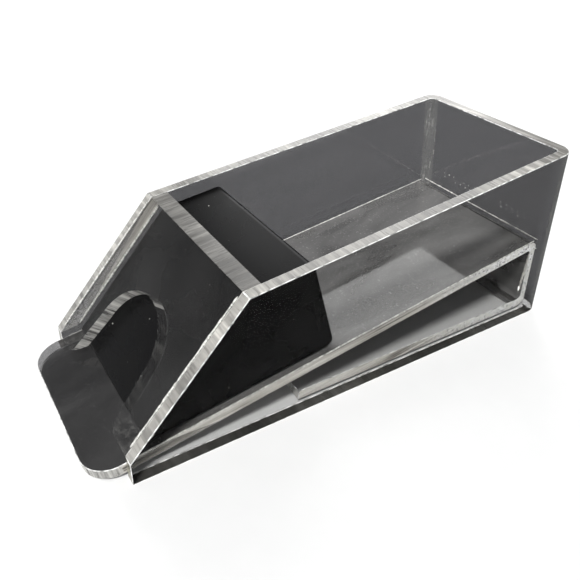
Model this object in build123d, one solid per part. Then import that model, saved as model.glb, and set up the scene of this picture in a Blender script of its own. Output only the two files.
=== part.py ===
from build123d import *
import os
from math import atan2, cos, degrees, radians, sin, tan

# Card dealing shoe. +X is the dealer's right when facing the open end, +Y runs from the tongue to the
# closed end, +Z is up. Lengths are millimetres. Working heights and depths are first measured from the
# foot of the side walls' front edge; every solid is then moved so that the origin is the middle of the
# footprint on the table.

# --- Driving dimensions -------------------------------------------------------------------------
SHEET = 5.6  # real thickness of nominal quarter-inch cast acrylic
WIDTH = 104.0  # across the outside of the two side walls
BEND_INSIDE = 2.4  # inside radius of every heat-bent corner

WALL_FRONT_HEIGHT = 12.4  # short vertical front edge of a side wall
RIM_FRONT_Y, RIM_FRONT_Z = 54.6, 76.9  # where the sloping front edge meets the rim
RIM_LENGTH = 191.5  # along the rim, to the closed end
RIM_SLOPE = 8.2  # degrees; the closed end is square to the rim

DECK_SLOPE = 9.5  # degrees; the deck rises towards the closed end
DECK_FRONT_GAP = 2.6  # table to the deck's underside, at the side walls' front edge
TONGUE_REACH = 15.3  # how far the deck runs out in front, along its slope
TONGUE_CORNER = 14.0
FOOT_GAP = 2.2  # table to the foot's underside
FOOT_FRONT_Y = 86.0

NOTCH_RADIUS = 25.0
NOTCH_CENTRE_UP = 26.5  # centre of the notch's round end, up the slope of the face plate
NOTCH_MOUTH_HALF = 28.5
LEG_TIP_RADIUS = 5.0

BLOCK_WIDTH = 87.0
BLOCK_TOP = 53.0  # height of the block's top above the deck, square to the deck
BLOCK_GAP = 1.0  # between the block's front and the face plate when it is fully forward
BLOCK_UNDER = 1.5  # between the block's underside and the deck
BLOCK_REAR = 109.0  # along the deck, where the rear face's line meets it
BLOCK_REAR_LEAN = 8.0  # degrees from square to the deck, leaning forward
BLOCK_WALL = 3.0
BLOCK_CORNER = 3.5
NOSE_RADIUS = 1.6

BASE_PLATE = 3.0
ROLLER_RADIUS = 5.0
ROLLER_LENGTH = 60.0
ROLLER_CLEARANCE = 0.2  # between a roller and the deck
ROLLER_S = {"front": 40.0, "rear": 92.0}  # along the deck
AXLE_RADIUS = 2.0
RUNNING_FIT = 0.05  # radial, roller on axle
AXLE_SEAT_DEPTH = 1.6  # how far an axle's end goes into the shell's cheek
SLOT_MARGIN = 1.0  # around a roller where it passes through the base plate
AXLE_ROOM = 0.3  # around an axle where it lies in a groove in the base plate

WEIGHT_S = (50.0, 82.0)
WEIGHT_WIDTH = 66.0
WEIGHT_HEIGHT = 20.0

BOSS_RADIUS = 3.2
BOSS_S = (23.0, 101.0)
BOSS_X = 35.0
BOSS_HEIGHT = 9.0
SCREW_RADIUS = 1.4
SCREW_HEAD_RADIUS = 2.7
SCREW_HEAD_DEPTH = 1.4
BASE_SCREW_LENGTH = 8.0
WEIGHT_SCREW_LENGTH = 10.0
WEIGHT_SCREW_X = 22.0

# --- Worked-out geometry --------------------------------------------------------------------------
half_width = WIDTH / 2
half_inside = half_width - SHEET
bend_outside = BEND_INSIDE + SHEET
rim_dir = (cos(radians(RIM_SLOPE)), sin(radians(RIM_SLOPE)))
deck_dir = (cos(radians(DECK_SLOPE)), sin(radians(DECK_SLOPE)))
rim_rear = (RIM_FRONT_Y + RIM_LENGTH * rim_dir[0], RIM_FRONT_Z + RIM_LENGTH * rim_dir[1])
base_rear_y = rim_rear[0] + rim_rear[1] * tan(radians(RIM_SLOPE))
face_angle = degrees(atan2(RIM_FRONT_Z - WALL_FRONT_HEIGHT, RIM_FRONT_Y))
face_dir = (cos(radians(face_angle)), sin(radians(face_angle)))
deck_top_front = DECK_FRONT_GAP + SHEET / deck_dir[0]
tip_y = -TONGUE_REACH * deck_dir[0]
middle_y = (tip_y - SHEET * deck_dir[1] + base_rear_y) / 2
to_origin = Pos(0, -middle_y, 0)

# The side plane looks along -X at true (y, z). The deck plane has its first axis up the deck and its
# second square to it, from the deck's top at the side walls' front edge.
side_plane = Plane(origin=(0, 0, 0), x_dir=(0, 1, 0), z_dir=(1, 0, 0))
deck_plane = Plane(origin=(0, 0, deck_top_front), x_dir=(0, *deck_dir), z_dir=(1, 0, 0))
deck_surface = Plane(
    origin=(0, 0, deck_top_front), x_dir=(1, 0, 0), z_dir=(0, -deck_dir[1], deck_dir[0])
)


def meet(point_a, dir_a, point_b, dir_b):
    """Where the line through point_a along dir_a crosses the line through point_b along dir_b."""
    cross = dir_a[0] * dir_b[1] - dir_a[1] * dir_b[0]
    gap = (point_b[0] - point_a[0], point_b[1] - point_a[1])
    along = (gap[0] * dir_b[1] - gap[1] * dir_b[0]) / cross
    return (point_a[0] + along * dir_a[0], point_a[1] + along * dir_a[1])


def shifted(point, direction, distance):
    """The point moved by distance square to direction, to its left."""
    return (point[0] - direction[1] * distance, point[1] + direction[0] * distance)


def rounded_profile(corners):
    """A face through (point, radius) corners, in order, with each corner rounded by its radius."""
    face = make_face(Polyline(*[point for point, radius in corners], close=True))
    for point, radius in corners:
        if radius > 0:
            vertex = face.vertices().sort_by_distance((*point, 0))[0]
            face = fillet(vertex, radius)
    return face


def prism(plane, face, half_length):
    """The face, laid in the plane, run half_length to both sides of it."""
    return extrude(plane * face, amount=half_length, both=True)


def deck_rod(s, n, radius, half_length):
    """A rod across the shoe at s along the deck and n above it."""
    return prism(deck_plane, Pos(s, n) * Circle(radius), half_length)


# --- The three acrylic sheets ---------------------------------------------------------------------
def side_outline():
    """Outline of a side wall: foot, front edge, sloping edge, rim and closed end."""
    return rounded_profile(
        [
            ((0, 0), 0),
            ((0, WALL_FRONT_HEIGHT), 0),
            ((RIM_FRONT_Y, RIM_FRONT_Z), 0),
            (rim_rear, 0),
            ((base_rear_y, 0), 0),
        ]
    )


def make_side_wrap():
    """Both side walls and the closed end, one sheet bent twice round lines square to the rim."""
    rear = base_rear_y * rim_dir[0]
    front = -60.0
    plan = rounded_profile(
        [
            ((-half_width, front), 0),
            ((-half_width, rear), bend_outside),
            ((half_width, rear), bend_outside),
            ((half_width, front), 0),
            ((half_inside, front), 0),
            ((half_inside, rear - SHEET), BEND_INSIDE),
            ((-half_inside, rear - SHEET), BEND_INSIDE),
            ((-half_inside, front), 0),
        ]
    )
    bend_plane = Plane(origin=(0, 0, 0), x_dir=(1, 0, 0), z_dir=(0, -rim_dir[1], rim_dir[0]))
    bent_sheet = extrude(bend_plane * plan, amount=200, both=True)
    return bent_sheet & prism(side_plane, side_outline(), half_width)


def make_base_sheet(side_wrap):
    """Tongue, deck, leg and foot, one sheet bent down and then forward under itself."""
    deck_under = (0, DECK_FRONT_GAP)
    deck_top = shifted(deck_under, deck_dir, SHEET)
    leg_dir = (-rim_dir[1], rim_dir[0])
    leg_outer = shifted((base_rear_y, 0), leg_dir, SHEET)
    leg_inner = shifted((base_rear_y, 0), leg_dir, 2 * SHEET)
    level = (1, 0)
    foot_under = (0, FOOT_GAP)
    foot_top = (0, FOOT_GAP + SHEET)
    tip_under = (
        deck_under[0] - TONGUE_REACH * deck_dir[0],
        deck_under[1] - TONGUE_REACH * deck_dir[1],
    )
    profile = rounded_profile(
        [
            (tip_under, 0),
            (shifted(tip_under, deck_dir, SHEET), 0),
            (meet(deck_top, deck_dir, leg_outer, leg_dir), bend_outside),
            (meet(leg_outer, leg_dir, foot_under, level), bend_outside),
            ((FOOT_FRONT_Y, foot_under[1]), 0),
            ((FOOT_FRONT_Y, foot_top[1]), 0),
            (meet(leg_inner, leg_dir, foot_top, level), BEND_INSIDE),
            (meet(deck_under, deck_dir, leg_inner, leg_dir), BEND_INSIDE),
        ]
    )
    sheet = prism(side_plane, profile, half_inside)
    thickness_axis = Axis((0, 0, 0), (0, -deck_dir[1], deck_dir[0]))
    tip_corners = sheet.edges().filter_by(thickness_axis).group_by(Axis.Y)[0]
    return fillet(tip_corners, TONGUE_CORNER) - side_wrap


def make_face_plate():
    """The sloping front plate between the side walls, with the dealer's finger notch."""
    front_foot = (0, WALL_FRONT_HEIGHT)
    inner = shifted(front_foot, face_dir, -SHEET)
    rim_front = (RIM_FRONT_Y, RIM_FRONT_Z)
    profile = rounded_profile(
        [
            (front_foot, 0),
            (rim_front, 0),
            (meet(inner, face_dir, rim_front, rim_dir), 0),
            (meet(inner, face_dir, front_foot, deck_dir), 0),
        ]
    )
    plate = prism(side_plane, profile, half_inside)
    slope_plane = Plane(
        origin=(0, *front_foot), x_dir=(1, 0, 0), z_dir=(0, -face_dir[1], face_dir[0])
    )
    return plate - extrude(slope_plane * notch_face(), amount=20, both=True)


def notch_face():
    """The notch on the slope plane: a round end, nearly straight sides and rounded leg tips."""
    below = -12.0
    flare = (NOTCH_MOUTH_HALF - NOTCH_RADIUS) / NOTCH_CENTRE_UP
    tip = LEG_TIP_RADIUS
    outline = make_face(
        Polyline(
            (-NOTCH_MOUTH_HALF - tip, below),
            (-NOTCH_MOUTH_HALF - tip, 0),
            (-NOTCH_MOUTH_HALF, 0),
            (-NOTCH_RADIUS, NOTCH_CENTRE_UP),
            (NOTCH_RADIUS, NOTCH_CENTRE_UP),
            (NOTCH_MOUTH_HALF, 0),
            (NOTCH_MOUTH_HALF + tip, 0),
            (NOTCH_MOUTH_HALF + tip, below),
            close=True,
        )
    )
    for side in (-1, 1):
        vertex = outline.vertices().sort_by_distance((side * NOTCH_MOUTH_HALF, 0, 0))[0]
        outline = fillet(vertex, tip * (1 - flare))
    return outline + Pos(0, NOTCH_CENTRE_UP) * Circle(NOTCH_RADIUS)


# --- The block that pushes the cards ----------------------------------------------------------------
def block_profile(inset):
    """The block's wedge outline on the deck plane, drawn in by inset, with its foot left open."""
    slope = radians(face_angle - DECK_SLOPE)
    face_foot_height = WALL_FRONT_HEIGHT - deck_top_front
    face_foot = (face_foot_height * deck_dir[1], face_foot_height * deck_dir[0])
    front_dir = (cos(slope), sin(slope))
    front = shifted(face_foot, front_dir, -(SHEET + BLOCK_GAP + inset))
    rear_dir = (-sin(radians(BLOCK_REAR_LEAN)), cos(radians(BLOCK_REAR_LEAN)))
    rear = shifted((BLOCK_REAR, 0), rear_dir, inset)
    level = (1, 0)
    foot = (0, BLOCK_UNDER)
    top = (0, BLOCK_TOP - inset)
    outer_only = 0 if inset else 1
    corner = max(BLOCK_CORNER - inset, 0.8)
    return rounded_profile(
        [
            (meet(front, front_dir, foot, level), NOSE_RADIUS * outer_only),
            (meet(front, front_dir, top, level), corner),
            (meet(rear, rear_dir, top, level), corner),
            (meet(rear, rear_dir, foot, level), BLOCK_CORNER * outer_only),
        ]
    )


def screw(x, s, length):
    """A countersunk screw standing up into the block from its underside."""
    place = deck_surface * Pos(x, s, BLOCK_UNDER)
    head = Pos(0, 0, SCREW_HEAD_DEPTH / 2) * Cone(SCREW_HEAD_RADIUS, SCREW_RADIUS, SCREW_HEAD_DEPTH)
    shank = Pos(0, 0, length / 2) * Cylinder(SCREW_RADIUS, length)
    return place * (head + shank)


def make_screws():
    """The four base screws and the two weight screws, each set in one node."""
    base_screws = [screw(x, s, BASE_SCREW_LENGTH) for x in (-BOSS_X, BOSS_X) for s in BOSS_S]
    weight_middle = sum(WEIGHT_S) / 2
    weight_screws = [
        screw(x, weight_middle, WEIGHT_SCREW_LENGTH) for x in (-WEIGHT_SCREW_X, WEIGHT_SCREW_X)
    ]
    return base_screws, weight_screws


def make_axle(s):
    """A steel rod held in the two cheeks of the shell."""
    half_length = BLOCK_WIDTH / 2 - BLOCK_WALL + AXLE_SEAT_DEPTH
    return deck_rod(s, ROLLER_RADIUS + ROLLER_CLEARANCE, AXLE_RADIUS, half_length)


def make_roller(s):
    """A plastic roller turning on its axle and running on the deck."""
    height = ROLLER_RADIUS + ROLLER_CLEARANCE
    outside = deck_rod(s, height, ROLLER_RADIUS, ROLLER_LENGTH / 2)
    return outside - deck_rod(s, height, AXLE_RADIUS + RUNNING_FIT, ROLLER_LENGTH)


def make_weight():
    """The steel slab that lies on the base plate and presses the cards forward."""
    middle = sum(WEIGHT_S) / 2
    floor = BLOCK_UNDER + BASE_PLATE
    slab = Box(WEIGHT_WIDTH, WEIGHT_S[1] - WEIGHT_S[0], WEIGHT_HEIGHT)
    return deck_surface * Pos(0, middle, floor + WEIGHT_HEIGHT / 2) * slab


def make_block_base(cavity):
    """The plate that closes the shell, with slots for the rollers."""
    slab = deck_surface * Pos(0, 60, BLOCK_UNDER + BASE_PLATE / 2) * Box(200, 200, BASE_PLATE)
    plate = cavity & slab
    for s in ROLLER_S.values():
        slot = Box(
            ROLLER_LENGTH + 2 * SLOT_MARGIN, 2 * (ROLLER_RADIUS + SLOT_MARGIN), 4 * BASE_PLATE
        )
        plate -= deck_surface * Pos(0, s, BLOCK_UNDER) * slot
        height = ROLLER_RADIUS + ROLLER_CLEARANCE
        plate -= deck_rod(s, height, AXLE_RADIUS + AXLE_ROOM, BLOCK_WIDTH / 2)
    return plate


def make_block_shell(cavity):
    """The hollow black wedge, with axle seats in its cheeks and four screw bosses."""
    shell = prism(deck_plane, block_profile(0), BLOCK_WIDTH / 2)
    side_edges = shell.edges().filter_by(lambda e: abs(abs(e.center().X) - BLOCK_WIDTH / 2) < 0.01)
    shell = fillet(side_edges, 1.0) - cavity
    floor = BLOCK_UNDER + BASE_PLATE
    for x in (-BOSS_X, BOSS_X):
        for s in BOSS_S:
            boss = Pos(x, s, floor + BOSS_HEIGHT / 2) * Cylinder(BOSS_RADIUS, BOSS_HEIGHT)
            shell += (deck_surface * boss) & cavity
    return shell


def write(name, shape):
    """Moves the shape to the origin and writes its STEP file."""
    export_step(to_origin * shape, f"parts/{name}.step")


def main():
    os.makedirs("parts", exist_ok=True)
    side_wrap = make_side_wrap()
    write("side_wrap", side_wrap)
    write("base_sheet", make_base_sheet(side_wrap))
    write("face_plate", make_face_plate())

    cavity = prism(deck_plane, block_profile(BLOCK_WALL), BLOCK_WIDTH / 2 - BLOCK_WALL)
    shell = make_block_shell(cavity)
    base = make_block_base(cavity)
    weight = make_weight()
    base_screws, weight_screws = make_screws()
    for s in ROLLER_S.values():
        shell -= make_axle(s)
    for one in base_screws:
        shell -= one
        base -= one
    for one in weight_screws:
        base -= one
        weight -= one
    write("block_shell", shell)
    write("block_base", base)
    write("block_weight", weight)
    write("base_screws", Compound(base_screws))
    write("weight_screws", Compound(weight_screws))
    for end, s in ROLLER_S.items():
        write(f"{end}_axle", make_axle(s))
        write(f"{end}_roller", make_roller(s))


main()
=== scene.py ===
import math
import random

import bmesh
import bpy
from mathutils import Matrix, Vector, noise
from mathutils.bvhtree import BVHTree


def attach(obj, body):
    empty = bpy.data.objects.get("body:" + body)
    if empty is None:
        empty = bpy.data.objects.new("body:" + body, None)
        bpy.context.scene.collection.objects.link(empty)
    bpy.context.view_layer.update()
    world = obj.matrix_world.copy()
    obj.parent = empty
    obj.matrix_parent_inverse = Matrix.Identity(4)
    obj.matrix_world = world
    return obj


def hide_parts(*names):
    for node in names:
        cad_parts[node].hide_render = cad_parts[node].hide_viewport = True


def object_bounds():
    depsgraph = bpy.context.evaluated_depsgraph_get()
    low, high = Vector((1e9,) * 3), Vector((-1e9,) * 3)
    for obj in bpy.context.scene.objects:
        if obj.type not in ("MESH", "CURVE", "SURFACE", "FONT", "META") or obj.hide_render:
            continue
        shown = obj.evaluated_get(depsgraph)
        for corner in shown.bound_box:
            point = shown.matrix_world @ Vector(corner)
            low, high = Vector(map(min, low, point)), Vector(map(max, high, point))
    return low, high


# Clear acrylic card dealing shoe. Metres, +Z up, the open end faces -Y and +X is its right side.

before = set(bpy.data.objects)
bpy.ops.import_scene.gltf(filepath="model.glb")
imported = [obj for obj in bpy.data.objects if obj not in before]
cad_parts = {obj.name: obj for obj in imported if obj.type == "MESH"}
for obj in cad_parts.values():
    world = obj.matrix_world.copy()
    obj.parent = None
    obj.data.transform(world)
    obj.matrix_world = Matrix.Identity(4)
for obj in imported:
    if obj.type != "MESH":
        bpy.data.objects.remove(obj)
cad_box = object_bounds()

# --- Driving values ---------------------------------------------------------------------------------
# Slopes and places of the sheets, rounded from the CAD.
RIM_SLOPE = math.radians(8.2)
DECK_SLOPE = math.radians(9.5)
PLATE_LEAN = math.radians(49.7)  # turn about X from straight up to the face plate's outward normal
WALL_INSIDE_X = 0.0464
WALL_FRONT_Y = -0.12157
INCLINE_LIMIT_Y = cad_box[0][1] + 0.0765  # just behind the side walls' sloping front edges
DECK_TOP_FRONT = 0.00828  # height of the deck's top at WALL_FRONT_Y

ARRIS = 0.00035  # width of the small polished chamfer along a sheet's edges
RIPPLE_TURN_Y = 0.13  # behind this, ripples run as on the closed end. The rim stays in front of it.

# Share of light that a whole sheet lets through.
# The dark tint of the left wall and closed end is painted shade for the shaded surroundings seen
# through them; the right wall, of the same bent sheet, stays nearly clear.
FAR_PAINTED_SHADE_PASS = (0.09, 0.09, 0.094)  # left wall and closed end
NEAR_PASS = (0.74, 0.74, 0.735)  # right wall
CLEAR_PASS = (1.0, 1.0, 1.0)
# The deck's dark tint is painted shade for the shaded floor under it; the foot, of the same sheet,
# stays nearly clear.
DECK_PAINTED_SHADE_PASS = (0.07, 0.068, 0.065)
# The tongue's tint, with the film thinned, is painted shade darkening the front of the deck sheet.
TONGUE_PAINTED_SHADE_PASS = (0.085, 0.084, 0.088)
FOOT_PASS = (0.85, 0.85, 0.85)
PLATE_PASS = (0.62, 0.62, 0.62)
TONGUE_REAR_Y = -0.100  # the tongue's tint has faded into the deck's here
TONGUE_FADE = 0.012

# Cement.
BEAD_STEP = 0.0006
BEAD_SIDES = 8
DECK_BEAD_ENDS_Y = (-0.118, 0.121)
PLATE_BEAD_ENDS = ((-0.1190, 0.0160), (-0.0690, 0.0752))  # (y, z) along the plate's outer face
PLATE_BACK_BEAD_ENDS = ((-0.1118, 0.0150), (-0.0640, 0.0715))  # and along its inner face
REAR_BEAD_Z = 0.0425
UPPER_BEAD_Y = 0.1240
GLUE_RUN_Y = 0.1245  # within the leg's thickness
# These runs carry a painted glow, standing in for bright streaks of light down the leg.
GLUE_RUNS = (  # (x, top, bottom) of the runs down the leg
    (-0.0445, 0.0390, 0.0170),
    (-0.0375, 0.0385, 0.0270),
    (0.0440, 0.0388, 0.0120),
)
BUBBLES = 16
BUBBLE_PITCH = 0.0042
BUBBLE_FIRST_X = -0.030
BUBBLE_ROWS = ((0.3, 0.0566), (0.0, 0.0592))  # (shift in pitches, height)

# Camera, lights and floor.
CAMERA_TARGET = (0.0, -0.0122, 0.0311)
CAMERA_PLACE = (0.2177, -0.1634, 0.2146)
CAMERA_ROLL = math.radians(3.6)
CAMERA_LENS = 37.8
KEY_TOWARDS = (-0.34, 0.44, -0.83)
KEY_STRENGTH = 3.4
KEY_ANGLE = math.radians(10.0)
SOFTBOX_PLACE = (-1.3, 0.86, 1.1)
SOFTBOX_TARGET = (0, 0.03, 0.04)
SOFTBOX_SIZE = 1.1
SOFTBOX_POWER = 10.0
FLOOR_HALF = 60.0
FLOOR_COLOUR = (0.86, 0.86, 0.855)

rim_up = Vector((0, -math.sin(RIM_SLOPE), math.cos(RIM_SLOPE)))
plate_out = Vector((0, -math.sin(PLATE_LEAN), math.cos(PLATE_LEAN)))


# --- Node helpers -----------------------------------------------------------------------------------
class Tree:
    """A material's node tree, with short calls for the nodes used here."""

    def __init__(self, name):
        self.material = bpy.data.materials.new(name)
        self.material.use_nodes = True
        self.tree = self.material.node_tree
        self.tree.nodes.clear()
        self.output = self.add("ShaderNodeOutputMaterial")
        self.coords = self.add("ShaderNodeTexCoord").outputs["Object"]

    def add(self, kind, **settings):
        node = self.tree.nodes.new(kind)
        for key, value in settings.items():
            setattr(node, key, value)
        return node

    def put(self, value, socket):
        """Links an output to the socket, or sets the socket's own value."""
        if isinstance(value, bpy.types.NodeSocket):
            self.tree.links.new(value, socket)
        else:
            socket.default_value = value

    def stretch(self, scale):
        node = self.add("ShaderNodeMapping")
        self.put(self.coords, node.inputs["Vector"])
        self.put(scale, node.inputs["Scale"])
        return node.outputs["Vector"]

    def leaned(self, lean, scale):
        """Coordinates turned about X, so that local Z is a sheet's thickness, and then stretched."""
        turn = self.add("ShaderNodeMapping")
        self.put(self.coords, turn.inputs["Vector"])
        self.put((-lean, 0.0, 0.0), turn.inputs["Rotation"])
        node = self.add("ShaderNodeMapping")
        self.put(turn.outputs["Vector"], node.inputs["Vector"])
        self.put(scale, node.inputs["Scale"])
        return node.outputs["Vector"]

    def noise(self, scale, detail=3.0, vector=None, rough=0.5, distortion=0.0):
        node = self.add("ShaderNodeTexNoise")
        self.put(vector or self.coords, node.inputs["Vector"])
        self.put(scale, node.inputs["Scale"])
        self.put(detail, node.inputs["Detail"])
        self.put(rough, node.inputs["Roughness"])
        self.put(distortion, node.inputs["Distortion"])
        return node.outputs["Fac"]

    def cells(self, scale, vector=None):
        node = self.add("ShaderNodeTexVoronoi")
        self.put(vector or self.coords, node.inputs["Vector"])
        self.put(scale, node.inputs["Scale"])
        return node.outputs["Distance"]

    def ramp(self, value, *stops):
        """A colour ramp; each stop is (position, grey or colour)."""
        node = self.add("ShaderNodeValToRGB")
        self.put(value, node.inputs["Fac"])
        elements = node.color_ramp.elements
        while len(elements) < len(stops):
            elements.new(0.5)
        for element, (position, colour) in zip(elements, stops):
            element.position = position
            element.color = (*colour, 1) if isinstance(colour, tuple) else (colour,) * 3 + (1,)
        return node.outputs["Color"]

    def math(self, operation, a, b=0.0, clamp=False):
        node = self.add("ShaderNodeMath", operation=operation, use_clamp=clamp)
        self.put(a, node.inputs[0])
        self.put(b, node.inputs[1])
        return node.outputs[0]

    def span(self, value, low, high, out_low=0.0, out_high=1.0):
        node = self.add("ShaderNodeMapRange")
        self.put(value, node.inputs["Value"])
        for name, number in (
            ("From Min", low),
            ("From Max", high),
            ("To Min", out_low),
            ("To Max", out_high),
        ):
            self.put(number, node.inputs[name])
        return node.outputs["Result"]

    def axis(self, name):
        node = self.add("ShaderNodeSeparateXYZ")
        self.put(self.coords, node.inputs[0])
        return node.outputs[name]

    def blend_colour(self, factor, a, b):
        node = self.add("ShaderNodeMix", data_type="RGBA")
        self.put(factor, node.inputs["Factor"])
        self.put(a, node.inputs[6])
        self.put(b, node.inputs[7])
        return node.outputs[2]

    def blend_value(self, factor, a, b):
        node = self.add("ShaderNodeMix", data_type="FLOAT")
        self.put(factor, node.inputs["Factor"])
        self.put(a, node.inputs[2])
        self.put(b, node.inputs[3])
        return node.outputs[0]

    def bump(self, height, strength, distance):
        node = self.add("ShaderNodeBump")
        self.put(strength, node.inputs["Strength"])
        self.put(distance, node.inputs["Distance"])
        self.put(height, node.inputs["Height"])
        return node.outputs["Normal"]

    def shader(self, kind, **inputs):
        node = self.add(kind)
        for name, value in inputs.items():
            self.put(value, node.inputs[name.replace("_", " ")])
        return node.outputs[0]

    def mix_shader(self, factor, a, b):
        node = self.add("ShaderNodeMixShader")
        self.put(factor, node.inputs[0])
        self.put(a, node.inputs[1])
        self.put(b, node.inputs[2])
        return node.outputs[0]

    def finish(self, shader):
        self.put(shader, self.output.inputs["Surface"])
        return self.material


def grey(level):
    return (level, level, level, 1)


# --- Materials --------------------------------------------------------------------------------------
def through_one_face(passed):
    """A sheet has two faces, so each one lets through the square root of what the sheet does."""
    return (*[math.sqrt(level) for level in passed], 1)


def sheet_face(name, passed, haze, shine, tongue=None):
    """An acrylic sheet's broad faces: smoky and see-through, under a film of dust and wipes as thick
    as haze makes it. A second tint, if given, paints shade on the sheet's front.
    """
    t = Tree(name)
    wipes = t.noise(38.0, 4.0, t.stretch((1.0, 0.35, 1.0)), distortion=0.6)
    dust = t.ramp(t.noise(900.0, 2.0), (0.62, 0.0), (0.74, 1.0))
    film = t.math("MULTIPLY", t.span(wipes, 0.35, 0.75), haze)
    film = t.math("ADD", film, t.math("MULTIPLY", dust, haze), clamp=True)
    film = t.math("ADD", film, haze * 0.6)
    tint = through_one_face(passed)
    # In front of the plate a second tint and a film thinned to a fifth paint shade, fading into the
    # deck's look behind it.
    if tongue:
        behind_plate = t.span(t.axis("Y"), TONGUE_REAR_Y - TONGUE_FADE, TONGUE_REAR_Y)
        tint = t.blend_colour(behind_plate, through_one_face(tongue), tint)
        film = t.math("MULTIPLY", film, t.span(behind_plate, 0.0, 1.0, 0.2, 1.0))
    clear = t.shader("ShaderNodeBsdfTransparent", Color=tint)
    dull = t.shader("ShaderNodeBsdfDiffuse", Color=(0.64, 0.63, 0.62, 1))
    rough = t.span(wipes, 0.3, 0.8, 0.04, 0.1)
    mirror = t.shader("ShaderNodeBsdfGlossy", Color=grey(1.0), Roughness=rough)
    grazing = t.math("POWER", t.add("ShaderNodeLayerWeight").outputs["Facing"], 5.0)
    share = t.math("MULTIPLY", t.span(grazing, 0.0, 1.0, 0.04, 1.0), shine, clamp=True)
    body = t.mix_shader(film, clear, dull)
    return t.finish(t.mix_shader(share, body, mirror))


def cut_edge(name, level=1.0, warmth=0.0, turn_at=RIPPLE_TURN_Y):
    """A saw-cut, flame-polished edge: dull cream, with ripples across the sheet's thickness. The
    cream is partly the frosted cut and partly painted light, standing in for the light the sheet
    pipes to its edges; a level below one gives a darker copy as painted shade.
    """
    t = Tree(name)
    side_ripple = t.noise(330.0, 4.0, t.stretch((0.08, 1.0, 0.5)), rough=0.62)
    rear_ripple = t.noise(330.0, 4.0, t.stretch((1.0, 0.08, 0.5)), rough=0.62)
    turn_half = 0.0015
    on_rear = t.span(t.axis("Y"), turn_at - turn_half, turn_at + turn_half)
    ripple = t.blend_value(on_rear, side_ripple, rear_ripple)
    broad = t.noise(26.0, 2.0)
    tone = t.math("ADD", t.math("MULTIPLY", ripple, 0.5), t.math("MULTIPLY", broad, 0.5))
    green = 0.972 * level
    blue = 0.90 * (1.0 - warmth) * level
    stops = ((0.36, 0.14), (0.47, 0.25), (0.56, 0.38), (0.66, 0.72))
    colour = t.ramp(tone, *[(place, (c * level, c * green, c * blue)) for place, c in stops])
    body = t.shader(
        "ShaderNodeBsdfPrincipled",
        Base_Color=colour,
        Roughness=t.span(ripple, 0.3, 0.7, 0.15, 0.4),
        Normal=t.bump(ripple, 0.35, 0.0003),
    )
    return t.finish(body)


def rear_bend_painted_streaks(name):
    """The heated bends at the closed end: dark, with upright streaks of painted light standing in for
    the light that the bends gather.
    """
    t = Tree(name)
    streaks = t.noise(420.0, 3.0, t.stretch((1.0, 1.0, 0.06)))
    breaks = t.noise(120.0, 4.0, rough=0.6)
    tone = t.math("ADD", t.math("MULTIPLY", streaks, 0.6), t.math("MULTIPLY", breaks, 0.4))
    milky = t.ramp(tone, (0.44, 0.01), (0.56, 0.08), (0.66, 0.34))
    clear = t.shader("ShaderNodeBsdfTransparent", Color=grey(0.12))
    dull = t.shader("ShaderNodeBsdfPrincipled", Base_Color=(0.62, 0.61, 0.58, 1), Roughness=0.2)
    return t.finish(t.mix_shader(milky, clear, dull))


def polished_cut(name, lean, milk):
    """A hand-polished cut, on the notch and the tongue: streaks run across the sheet's thickness. Its
    opaque milky streaks, as many as milk gives, are painted highlight.
    """
    t = Tree(name)
    streaks = t.noise(300.0, 4.0, t.leaned(lean, (1.0, 1.0, 0.07)), rough=0.65)
    milky = t.ramp(streaks, (0.4, milk[0]), (0.5, milk[1]), (0.62, milk[2]))
    clear = t.shader("ShaderNodeBsdfTransparent", Color=grey(0.8))
    dull = t.shader("ShaderNodeBsdfPrincipled", Base_Color=(0.7, 0.69, 0.65, 1), Roughness=0.22)
    return t.finish(t.mix_shader(milky, clear, dull))


def glued_edge_painted_glow(name, lean, bubbles_from, bubbles_to):
    """A cut edge cemented to a wall: cream, with bubbles in the cement towards one end along Y, and a
    faint painted glow of its own colour.
    """
    t = Tree(name)
    amount = t.span(t.axis("Y"), bubbles_from, bubbles_to)
    broad = t.noise(30.0, 3.0)
    fine = t.noise(420.0, 4.0)
    lines = t.noise(900.0, 3.0, t.leaned(lean, (1.0, 0.015, 1.0)), rough=0.6)
    base = t.ramp(
        t.math("ADD", t.math("MULTIPLY", broad, 0.35), t.math("MULTIPLY", lines, 0.65)),
        (0.36, (0.07, 0.065, 0.06)),
        (0.45, (0.40, 0.38, 0.34)),
        (0.6, (0.66, 0.64, 0.60)),
    )
    cells = t.cells(620.0)
    spots = t.ramp(cells, (0.12, 0.02), (0.3, 0.25), (0.55, 0.8))
    patches = t.ramp(t.noise(170.0, 3.0, distortion=1.2), (0.42, 0.0), (0.56, 1.0))
    frosty = t.blend_colour(patches, spots, (0.66, 0.66, 0.63, 1))
    colour = t.blend_colour(amount, base, frosty)
    normal = t.bump(t.math("ADD", cells, fine), 0.5, 0.0004)
    body = t.shader(
        "ShaderNodeBsdfPrincipled",
        Base_Color=colour,
        Roughness=0.35,
        Normal=normal,
        # Painted glow: the seam gives off its own colour faintly.
        Emission_Color=colour,
        Emission_Strength=0.16,
    )
    return t.finish(body)


def painted_highlight_arris(name):
    """The tiny chamfer along an edge, coloured near-white as a painted highlight line with painted
    glints.
    """
    t = Tree(name)
    painted_glints = t.noise(330.0, 3.0)
    colour = t.ramp(
        painted_glints,
        (0.35, (0.25, 0.25, 0.24)),
        (0.5, (0.72, 0.72, 0.7)),
        (0.65, (1, 1, 0.98)),
    )
    return t.finish(
        t.shader("ShaderNodeBsdfPrincipled", Base_Color=colour, Roughness=0.18, Coat_Weight=0.5)
    )


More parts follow.
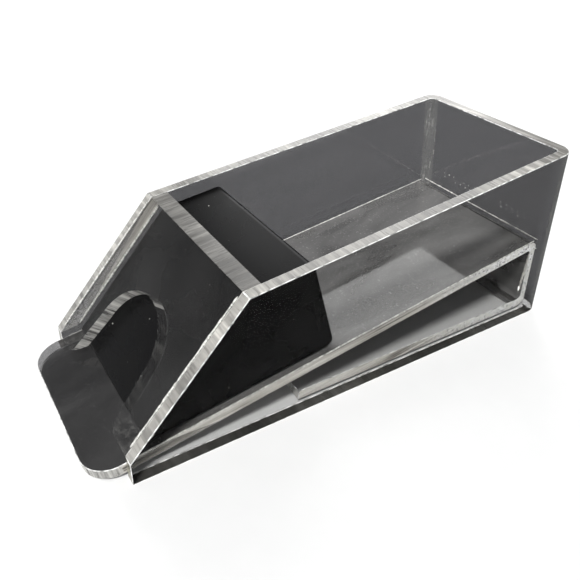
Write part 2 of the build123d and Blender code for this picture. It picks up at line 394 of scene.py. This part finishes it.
def black_plastic(name, rough, shine):
    """Black moulded plastic with a fine satin grain and faint rubbed patches."""
    t = Tree(name)
    grain = t.noise(2600.0, 2.0)
    rub = t.noise(45.0, 4.0, distortion=0.5)
    colour = t.ramp(rub, (0.3, (0.0012, 0.0012, 0.0014)), (0.75, (0.003, 0.0029, 0.0029)))
    specks = t.ramp(t.noise(620.0, 0.0), (0.865, 0.0), (0.885, 1.0))
    colour = t.blend_colour(specks, colour, (0.4, 0.4, 0.38, 1))
    roughness = t.span(rub, 0.3, 0.75, rough - 0.03, rough + 0.05)
    body = t.shader(
        "ShaderNodeBsdfPrincipled",
        Base_Color=colour,
        Roughness=roughness,
        Normal=t.bump(grain, 0.05, 0.0001),
        Specular_IOR_Level=shine,
    )
    return t.finish(body)


def steel(name):
    """Drawn steel, brushed along X."""
    t = Tree(name)
    brush = t.noise(900.0, 4.0, t.stretch((0.03, 1.0, 1.0)))
    colour = t.ramp(brush, (0.3, (0.38, 0.38, 0.39)), (0.7, (0.62, 0.62, 0.63)))
    body = t.shader(
        "ShaderNodeBsdfPrincipled",
        Base_Color=colour,
        Metallic=1.0,
        Roughness=t.span(brush, 0.3, 0.7, 0.22, 0.42),
        Normal=t.bump(brush, 0.2, 0.0001),
    )
    return t.finish(body)


def acetal(name):
    """White roller plastic, turned, with faint lathe rings and dust."""
    t = Tree(name)
    rings = t.noise(700.0, 2.0, t.stretch((1.0, 0.05, 0.05)))
    dust = t.noise(60.0, 4.0)
    colour = t.ramp(dust, (0.35, (0.55, 0.53, 0.48)), (0.6, (0.80, 0.79, 0.75)))
    body = t.shader(
        "ShaderNodeBsdfPrincipled",
        Base_Color=colour,
        Roughness=0.42,
        Normal=t.bump(rings, 0.25, 0.0001),
    )
    return t.finish(body)


def floor_paper(name):
    t = Tree(name)
    fibre = t.noise(60.0, 4.0)
    low = tuple(c * 0.985 for c in FLOOR_COLOUR)
    colour = t.ramp(fibre, (0.3, low), (0.7, FLOOR_COLOUR))
    return t.finish(t.shader("ShaderNodeBsdfPrincipled", Base_Color=colour, Roughness=0.7))


# --- Sheets -----------------------------------------------------------------------------------------
def clean_copy(node, name):
    """A copy of a CAD node's mesh with its flat triangles joined, as a new piece."""
    piece = bpy.data.objects.new(name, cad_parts[node].data.copy())
    bpy.context.collection.objects.link(piece)
    mesh = piece.data
    mesh.materials.clear()
    if mesh.has_custom_normals:
        bpy.context.view_layer.objects.active = piece
        bpy.ops.mesh.customdata_custom_splitnormals_clear()
    shape = bmesh.new()
    shape.from_mesh(mesh)
    bmesh.ops.remove_doubles(shape, verts=shape.verts, dist=1e-6)
    bmesh.ops.dissolve_limit(
        shape, angle_limit=math.radians(0.2), verts=shape.verts, edges=shape.edges
    )
    bmesh.ops.recalc_face_normals(shape, faces=shape.faces)
    shape.to_mesh(mesh)
    shape.free()
    return piece


def assign_slots(piece, slot_for):
    """Puts every polygon on the material slot that slot_for(normal, centre) gives."""
    for polygon in piece.data.polygons:
        polygon.material_index = slot_for(polygon.normal, polygon.center)
        polygon.use_smooth = True


def add_arris(piece, slot):
    bevel = piece.modifiers.new("arris", "BEVEL")
    bevel.width = ARRIS
    bevel.segments = 2
    bevel.limit_method = "ANGLE"
    bevel.angle_limit = math.radians(35)
    bevel.material = slot
    bevel.harden_normals = True
    bevel.miter_outer = "MITER_ARC"


def make_sheet(node, name, body, materials, slot_for):
    """A chamfered copy of a sheet in place of its CAD node. The last material is the chamfer's."""
    piece = clean_copy(node, name)
    for material in materials:
        piece.data.materials.append(material)
    assign_slots(piece, slot_for)
    add_arris(piece, len(materials) - 1)
    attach(piece, body)
    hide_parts(node)


WRAP_OUTSIDE, WRAP_NEAR, WRAP_RIM, WRAP_FRONT, WRAP_BEND, WRAP_BOTTOM, WRAP_INSIDE = range(7)


def wrap_slot(normal, centre):
    if normal.z < -0.9:
        return WRAP_BOTTOM
    if abs(normal.dot(rim_up)) > 0.5:
        return WRAP_RIM
    if normal.y < -0.5 and centre.y < INCLINE_LIMIT_Y:
        return WRAP_FRONT
    # The right wall keeps a nearly clear tint; the left wall's and closed end's outside faces get the
    # dark tint that is painted shade.
    if abs(normal.x) > 0.9 and centre.x > 0.04:
        return WRAP_NEAR
    if normal.dot(Vector((centre.x, centre.y, 0))) < 0:
        return WRAP_INSIDE
    on_bend = abs(normal.x) > 0.3 and abs(normal.y) > 0.3
    return WRAP_BEND if on_bend else WRAP_OUTSIDE


BASE_DECK, BASE_TONGUE_CUT, BASE_SEAM, BASE_FOOT, BASE_CLEAR_CUT = range(5)


def base_slot(normal, centre):
    if abs(normal.x) > 0.95 and centre.y > -0.1:
        return BASE_SEAM
    faces_front = normal.y < -0.7 and centre.y < 0
    if abs(normal.x) > 0.12 or faces_front:
        # Cuts facing -X stay clear; the others get the tongue cut's painted highlight.
        return BASE_CLEAR_CUT if normal.x < -0.2 else BASE_TONGUE_CUT
    return BASE_FOOT if abs(normal.z) > 0.999 else BASE_DECK


PLATE_FACE, PLATE_TOP, PLATE_SEAM, PLATE_NOTCH, PLATE_CLEAR_CUT = range(5)


def plate_slot(normal, centre):
    if abs(centre.x) > 0.045:
        return PLATE_SEAM
    if abs(normal.dot(plate_out)) > 0.95:
        return PLATE_FACE
    if centre.z > 0.07:
        return PLATE_TOP
    on_tip = centre.z < 0.03 and normal.x < 0.6
    # Cuts facing -X, at the right end or at the tip stay clear; the rest of the notch gets the
    # painted highlight.
    clear = normal.x < -0.2 or centre.x > 0.02 or on_tip
    return PLATE_CLEAR_CUT if clear else PLATE_NOTCH


def make_shoe():
    """Each list of materials is in the order of its slot names above, with the chamfer's last."""
    arris = painted_highlight_arris("acrylic_arris_painted_highlight")
    clear_cut = polished_cut("acrylic_clear_cut", DECK_SLOPE, (0.0, 0.02, 0.12))
    # The left wall and closed end are tinted on the outside only, so their tint is squared to make up
    # for the square root that is taken for each of two faces. That dark tint is painted shade.
    on_one_face = [level**2 for level in FAR_PAINTED_SHADE_PASS]
    wrap = [
        sheet_face("acrylic_far_outside_painted_shade", on_one_face, haze=0.004, shine=0.7),
        sheet_face("acrylic_near_wall", NEAR_PASS, haze=0.0003, shine=0.03),
        cut_edge("acrylic_cut_edge"),
        # The front and bottom edges are darker copies of the cut edge: painted shade.
        cut_edge("acrylic_front_edge_painted_shade", level=0.56, warmth=0.16),
        rear_bend_painted_streaks("acrylic_bend_painted_streaks"),
        cut_edge("acrylic_bottom_edge_painted_shade", level=0.2),
        sheet_face("acrylic_far_inside", CLEAR_PASS, haze=0.004, shine=0.7),
        arris,
    ]
    base = [
        # The deck's dark tint is painted shade, evened by a thick film; its tongue is darker still.
        sheet_face("acrylic_deck_painted_shade", DECK_PAINTED_SHADE_PASS, haze=0.2, shine=1.3, tongue=TONGUE_PAINTED_SHADE_PASS),
        polished_cut("acrylic_tongue_cut_painted_highlight", DECK_SLOPE, (0.25, 0.5, 0.8)),
        glued_edge_painted_glow("cement_deck", DECK_SLOPE, 0.03, 0.1),
        sheet_face("acrylic_foot", FOOT_PASS, haze=0.008, shine=0.3),
        clear_cut,
        arris,
    ]
    plate = [
        sheet_face("acrylic_plate", PLATE_PASS, haze=0.014, shine=0.2),
        # The plate's top edge is a darker copy of the cut edge: painted shade.
        cut_edge("acrylic_plate_top_painted_shade", level=0.5, turn_at=-1.0),  # its ripples all run as at the rear
        glued_edge_painted_glow("cement_plate", PLATE_LEAN, -0.075, -0.13),
        polished_cut("acrylic_notch_cut_painted_highlight", PLATE_LEAN, (0.12, 0.55, 1.0)),
        clear_cut,
        arris,
    ]
    make_sheet("side_wrap", "wrap_sheet", "shoe", wrap, wrap_slot)
    make_sheet("base_sheet", "deck_sheet", "shoe", base, base_slot)
    make_sheet("face_plate", "front_sheet", "shoe", plate, plate_slot)


# --- Cement -----------------------------------------------------------------------------------------
def bead(name, start, end, radius, seed, material):
    """A run of squeezed-out cement from start to end, uneven and broken up like the real one."""
    start = Vector(start)
    run = Vector(end) - start
    rings = max(8, int(run.length / BEAD_STEP))
    side = run.orthogonal().normalized()
    other = run.normalized().cross(side)
    shape = bmesh.new()
    loops = []
    for ring in range(rings + 1):
        centre = start + run * (ring / rings)
        swell = 0.75 + 0.55 * noise.noise(centre * 420 + Vector((seed, 0, 0)))
        swell += 0.3 * noise.noise(centre * 1300 + Vector((0, seed, 0)))
        reach = radius * max(0.12, swell) * (0.1 if ring in (0, rings) else 1.0)
        turns = [2 * math.pi * k / BEAD_SIDES for k in range(BEAD_SIDES)]
        points = [centre + reach * (side * math.cos(a) + other * math.sin(a)) for a in turns]
        loops.append([shape.verts.new(point) for point in points])
    for lower, upper in zip(loops, loops[1:]):
        for k in range(BEAD_SIDES):
            following = (k + 1) % BEAD_SIDES
            quad = (lower[k], lower[following], upper[following], upper[k])
            shape.faces.new(quad).smooth = True
    shape.faces.new(reversed(loops[0]))
    shape.faces.new(loops[-1])
    add_cement_piece(shape, name, material)


def add_cement_piece(shape, name, material):
    bmesh.ops.recalc_face_normals(shape, faces=shape.faces)
    mesh = bpy.data.meshes.new(name)
    shape.to_mesh(mesh)
    shape.free()
    mesh.materials.append(material)
    piece = bpy.data.objects.new(name, mesh)
    bpy.context.collection.objects.link(piece)
    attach(piece, "shoe")


def cement(name, milk, glow=0.0):
    """Set acrylic cement: glassy, with milky bubbles; glow adds painted light, a glow standing in for
    the light it pipes.
    """
    t = Tree(name)
    spots = t.ramp(t.noise(900.0, 3.0), (0.4, milk[0]), (0.56, milk[1]))
    clear = t.shader("ShaderNodeBsdfTransparent", Color=grey(0.85))
    milky = t.shader(
        "ShaderNodeBsdfPrincipled",
        Base_Color=(0.8, 0.79, 0.75, 1),
        Roughness=0.2,
        Emission_Color=(0.9, 0.89, 0.85, 1),
        Emission_Strength=glow,
    )
    return t.finish(t.mix_shader(spots, clear, milky))


def deck_top(y):
    return DECK_TOP_FRONT + math.tan(DECK_SLOPE) * (y - WALL_FRONT_Y)


def rear_wall_y(z):
    """Where the inside face of the closed end is, at the height z."""
    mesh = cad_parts["side_wrap"].data
    corners = [vertex.co for vertex in mesh.vertices]
    tree = BVHTree.FromPolygons(corners, [polygon.vertices[:] for polygon in mesh.polygons])
    place = tree.ray_cast(Vector((0, 0.1, z)), Vector((0, 1, 0)))[0]
    return place.y


def side_beads(side, label, glue):
    """The cement along the deck and the face plate, where they meet one side wall."""
    x = side * (WALL_INSIDE_X - 0.0002)
    front, rear = [(x, y, deck_top(y) + 0.0001) for y in DECK_BEAD_ENDS_Y]
    bead(f"cement_deck_{label}", front, rear, 0.0004, 3 + side, glue)
    low, high = [(x, y, z) for y, z in PLATE_BEAD_ENDS]
    bead(f"cement_plate_{label}", low, high, 0.00055, 7 + side, glue)
    corner = side * (WALL_INSIDE_X - 0.0007)
    low, high = [(corner, y, z) for y, z in PLATE_BACK_BEAD_ENDS]
    bead(f"cement_behind_plate_{label}", low, high, 0.00075, 16 + side, glue)


def cross_bead(name, y, z, radius, seed, glue):
    """Cement across the shoe, from one side wall to the other."""
    x = WALL_INSIDE_X - 0.0002
    bead(name, (-x, y, z), (x, y, z), radius, seed, glue)


def bubble_row(name, shift, z, material):
    """A row of flattened bubbles on the closed end's inside face."""
    draw = random.Random(name)
    shape = bmesh.new()
    y = rear_wall_y(z)
    for step in range(BUBBLES):
        x = BUBBLE_FIRST_X + (step + shift) * BUBBLE_PITCH + draw.uniform(-0.0006, 0.0006)
        size = draw.uniform(0.0004, 0.0009)
        place = Matrix.Translation((x, y - 0.00005, z + draw.uniform(-0.0004, 0.0004)))
        flat = Matrix.Diagonal((size, 0.00012, size * 0.8, 1))
        bmesh.ops.create_icosphere(shape, subdivisions=2, radius=1.0, matrix=place @ flat)
    for face in shape.faces:
        face.smooth = True
    add_cement_piece(shape, name, material)


def make_cement():
    glue = cement("acrylic_cement", (0.45, 1.0))
    bubbles = cement("cement_bubbles", (0.02, 0.3))
    # The runs glow: painted light.
    painted_glow_cement = cement("cement_runs_painted_glow", (0.6, 1.0), glow=1.6)
    side_beads(-1, "left", glue)
    side_beads(1, "right", glue)
    rear_y = rear_wall_y(REAR_BEAD_Z) - 0.0002
    cross_bead("cement_rear", rear_y, REAR_BEAD_Z, 0.0005, 12, glue)
    upper_z = deck_top(UPPER_BEAD_Y) - 0.0006
    cross_bead("cement_rear_upper", UPPER_BEAD_Y, upper_z, 0.0004, 21, glue)
    for index, (x, top, bottom) in enumerate(GLUE_RUNS):
        start = (x, GLUE_RUN_Y, top)
        end = (x, GLUE_RUN_Y, bottom)
        bead(f"cement_run_{index}", start, end, 0.0008, 30 + index, painted_glow_cement)
    for index, (shift, z) in enumerate(BUBBLE_ROWS):
        bubble_row(f"rear_bubbles_{index}", shift, z, bubbles)


# --- Block ------------------------------------------------------------------------------------------
def dress(node, material):
    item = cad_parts[node]
    item.data.materials.clear()
    item.data.materials.append(material)


def make_block():
    dress("block_shell", black_plastic("block_black", 0.27, 0.07))
    dress("block_base", black_plastic("base_black", 0.42, 0.15))
    metal = steel("plain_steel")
    for node in ("block_weight", "base_screws", "weight_screws", "front_axle", "rear_axle"):
        dress(node, metal)
    roller = acetal("roller_acetal")
    dress("front_roller", roller)
    dress("rear_roller", roller)


# --- Stage ------------------------------------------------------------------------------------------
def make_floor():
    mesh = bpy.data.meshes.new("floor")
    corners = [(x * FLOOR_HALF, y * FLOOR_HALF, 0) for x, y in ((-1, -1), (1, -1), (1, 1), (-1, 1))]
    mesh.from_pydata(corners, [], [(0, 1, 2, 3)])
    mesh.materials.append(floor_paper("floor_paper"))
    floor = bpy.data.objects.new("floor", mesh)
    bpy.context.collection.objects.link(floor)


def add_light(data, towards):
    light = bpy.data.objects.new(data.name, data)
    bpy.context.collection.objects.link(light)
    light.rotation_euler = Vector(towards).to_track_quat("-Z", "Y").to_euler()
    return light


def make_lights():
    key = bpy.data.lights.new("key", "SUN")
    key.energy = KEY_STRENGTH
    key.angle = KEY_ANGLE
    add_light(key, KEY_TOWARDS)
    softbox = bpy.data.lights.new("deck_softbox", "AREA")
    softbox.shape = "DISK"
    softbox.size = SOFTBOX_SIZE
    softbox.energy = SOFTBOX_POWER
    light = add_light(softbox, Vector(SOFTBOX_TARGET) - Vector(SOFTBOX_PLACE))
    light.location = SOFTBOX_PLACE
    make_sky()


def make_sky():
    """A pale sweep behind the floor's far end, dimmer overhead."""
    world = bpy.data.worlds.new("studio")
    bpy.context.scene.world = world
    world.use_nodes = True
    nodes = world.node_tree.nodes
    links = world.node_tree.links
    split = nodes.new("ShaderNodeSeparateXYZ")
    fade = nodes.new("ShaderNodeMapRange")
    links.new(nodes.new("ShaderNodeTexCoord").outputs["Generated"], split.inputs[0])
    links.new(split.outputs["Z"], fade.inputs["Value"])
    for name, number in (("From Min", 0.1), ("From Max", 0.4), ("To Min", 1.0), ("To Max", 0.22)):
        fade.inputs[name].default_value = number
    back = nodes["Background"]
    back.inputs["Color"].default_value = (0.97, 0.98, 1.0, 1)
    links.new(fade.outputs["Result"], back.inputs["Strength"])


def make_camera():
    data = bpy.data.cameras.new("camera")
    data.lens = CAMERA_LENS
    data.sensor_width = 36.0
    data.clip_start = 0.01
    camera = bpy.data.objects.new("camera", data)
    bpy.context.collection.objects.link(camera)
    aim = Vector(CAMERA_TARGET) - Vector(CAMERA_PLACE)
    turn = aim.to_track_quat("-Z", "Y").to_matrix().to_4x4()
    roll = Matrix.Rotation(CAMERA_ROLL, 4, "Z")
    camera.matrix_world = Matrix.Translation(CAMERA_PLACE) @ turn @ roll
    bpy.context.scene.camera = camera


make_camera()
make_floor()
make_lights()
make_shoe()
make_cement()
make_block()
bpy.context.scene.view_settings.view_transform = "Standard"
